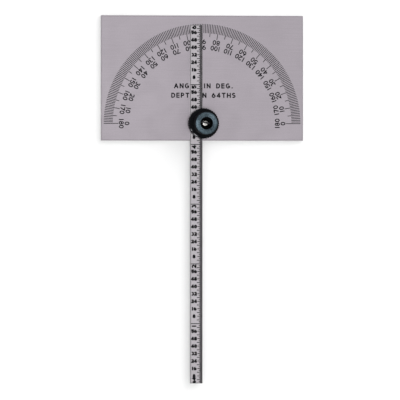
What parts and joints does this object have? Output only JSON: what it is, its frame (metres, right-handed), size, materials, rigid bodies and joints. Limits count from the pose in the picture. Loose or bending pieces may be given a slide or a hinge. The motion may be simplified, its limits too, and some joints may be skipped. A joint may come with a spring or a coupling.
{
  "type": "protractor",
  "caption": "Square-head protractor with a degree scale, a sliding graduated depth rule on a swivelling stud, and a knurled clamp nut.",
  "frame": {"origin": "on the pivot axis, at the back face of the head, which is also the flush head of the stud", "axes": "+Z out of the back towards the clamp nut, +Y along the rule towards its 6 inch end, +X along the head's long side"},
  "size_m": [0.087, 0.1564, 0.0134],
  "materials": {
    "satin_chrome_head": "satin chrome",
    "satin_chrome_rule": "satin chrome",
    "plain_steel": "turned, bright",
    "spring_steel": "plain, oiled",
    "black_oxide_steel": "black oxide, satin",
    "scale_ink": "matt black filling of the etched scales"
  },
  "bodies": {
    "head": {"head_plate": "satin_chrome_head"},
    "swivel": {"clamp_stud": "plain_steel", "keeper_washer": "plain_steel", "wave_spring": "spring_steel"},
    "blade": {"rule": "satin_chrome_rule"},
    "thrust": {"thrust_washer": "plain_steel"},
    "nut": {"clamp_nut": "black_oxide_steel"}
  },
  "joints": [
    {"name": "blade_swing", "type": "hinge", "parent": "head", "child": "swivel", "pos_m": [0, 0, 0], "axis": [0, 0, 1], "continuous": true},
    {"name": "blade_slide", "type": "slide", "parent": "swivel", "child": "blade", "axis": [0, 1, 0], "range_m": [-0.0376, 0.1064]},
    {"name": "nut_lift", "type": "slide", "parent": "swivel", "child": "thrust", "axis": [0, 0, 1], "range_m": [0, 0.000635], "deforming": ["wave_spring"]},
    {"name": "nut_turn", "type": "hinge", "parent": "thrust", "child": "nut", "pos_m": [0, 0, 0], "axis": [0, 0, 1], "range_deg": [0, 360]}
  ],
  "couplings": [
    {"joint": "nut_turn", "follows": "nut_lift", "rad_per_m": 9894.8}
  ]
}
